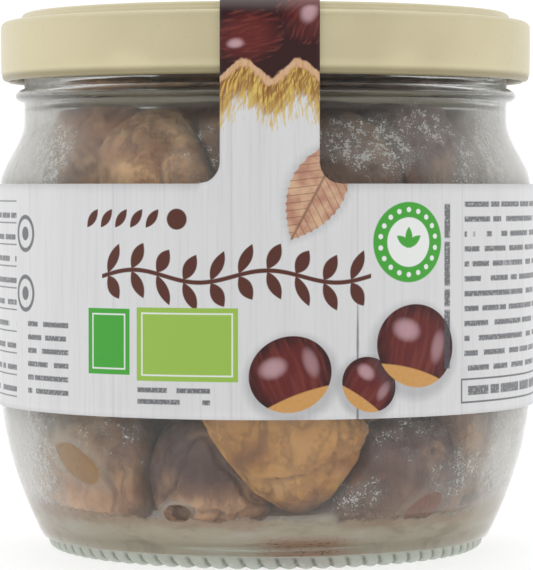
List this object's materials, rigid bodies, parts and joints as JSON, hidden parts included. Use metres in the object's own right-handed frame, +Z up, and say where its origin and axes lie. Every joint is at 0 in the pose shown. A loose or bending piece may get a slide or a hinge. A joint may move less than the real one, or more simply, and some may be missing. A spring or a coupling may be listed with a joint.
{
  "type": "glass jar of whole peeled roasted chestnuts",
  "caption": "Clear glass jar of whole peeled chestnuts, shut by a gold twist-off lid, with a wrap-round paper label whose tab goes up over the lid",
  "frame": {"origin": "centre of the jar's base ring, on the surface that it stands on", "axes": "+Z up along the jar's axis, the label's tab at the front faces -Y, +X to the right seen from the front"},
  "size_m": [0.105, 0.105, 0.1046],
  "materials": {
    "clear_glass": "gloss",
    "gold_lacquer": "satin",
    "label_paper": "satin",
    "peeled_nut": "satin"
  },
  "bodies": {
    "root": {"glass_jar": "clear_glass", "lid": "gold_lacquer", "label": "label_paper", "chestnuts": "peeled_nut"}
  },
  "joints": []
}
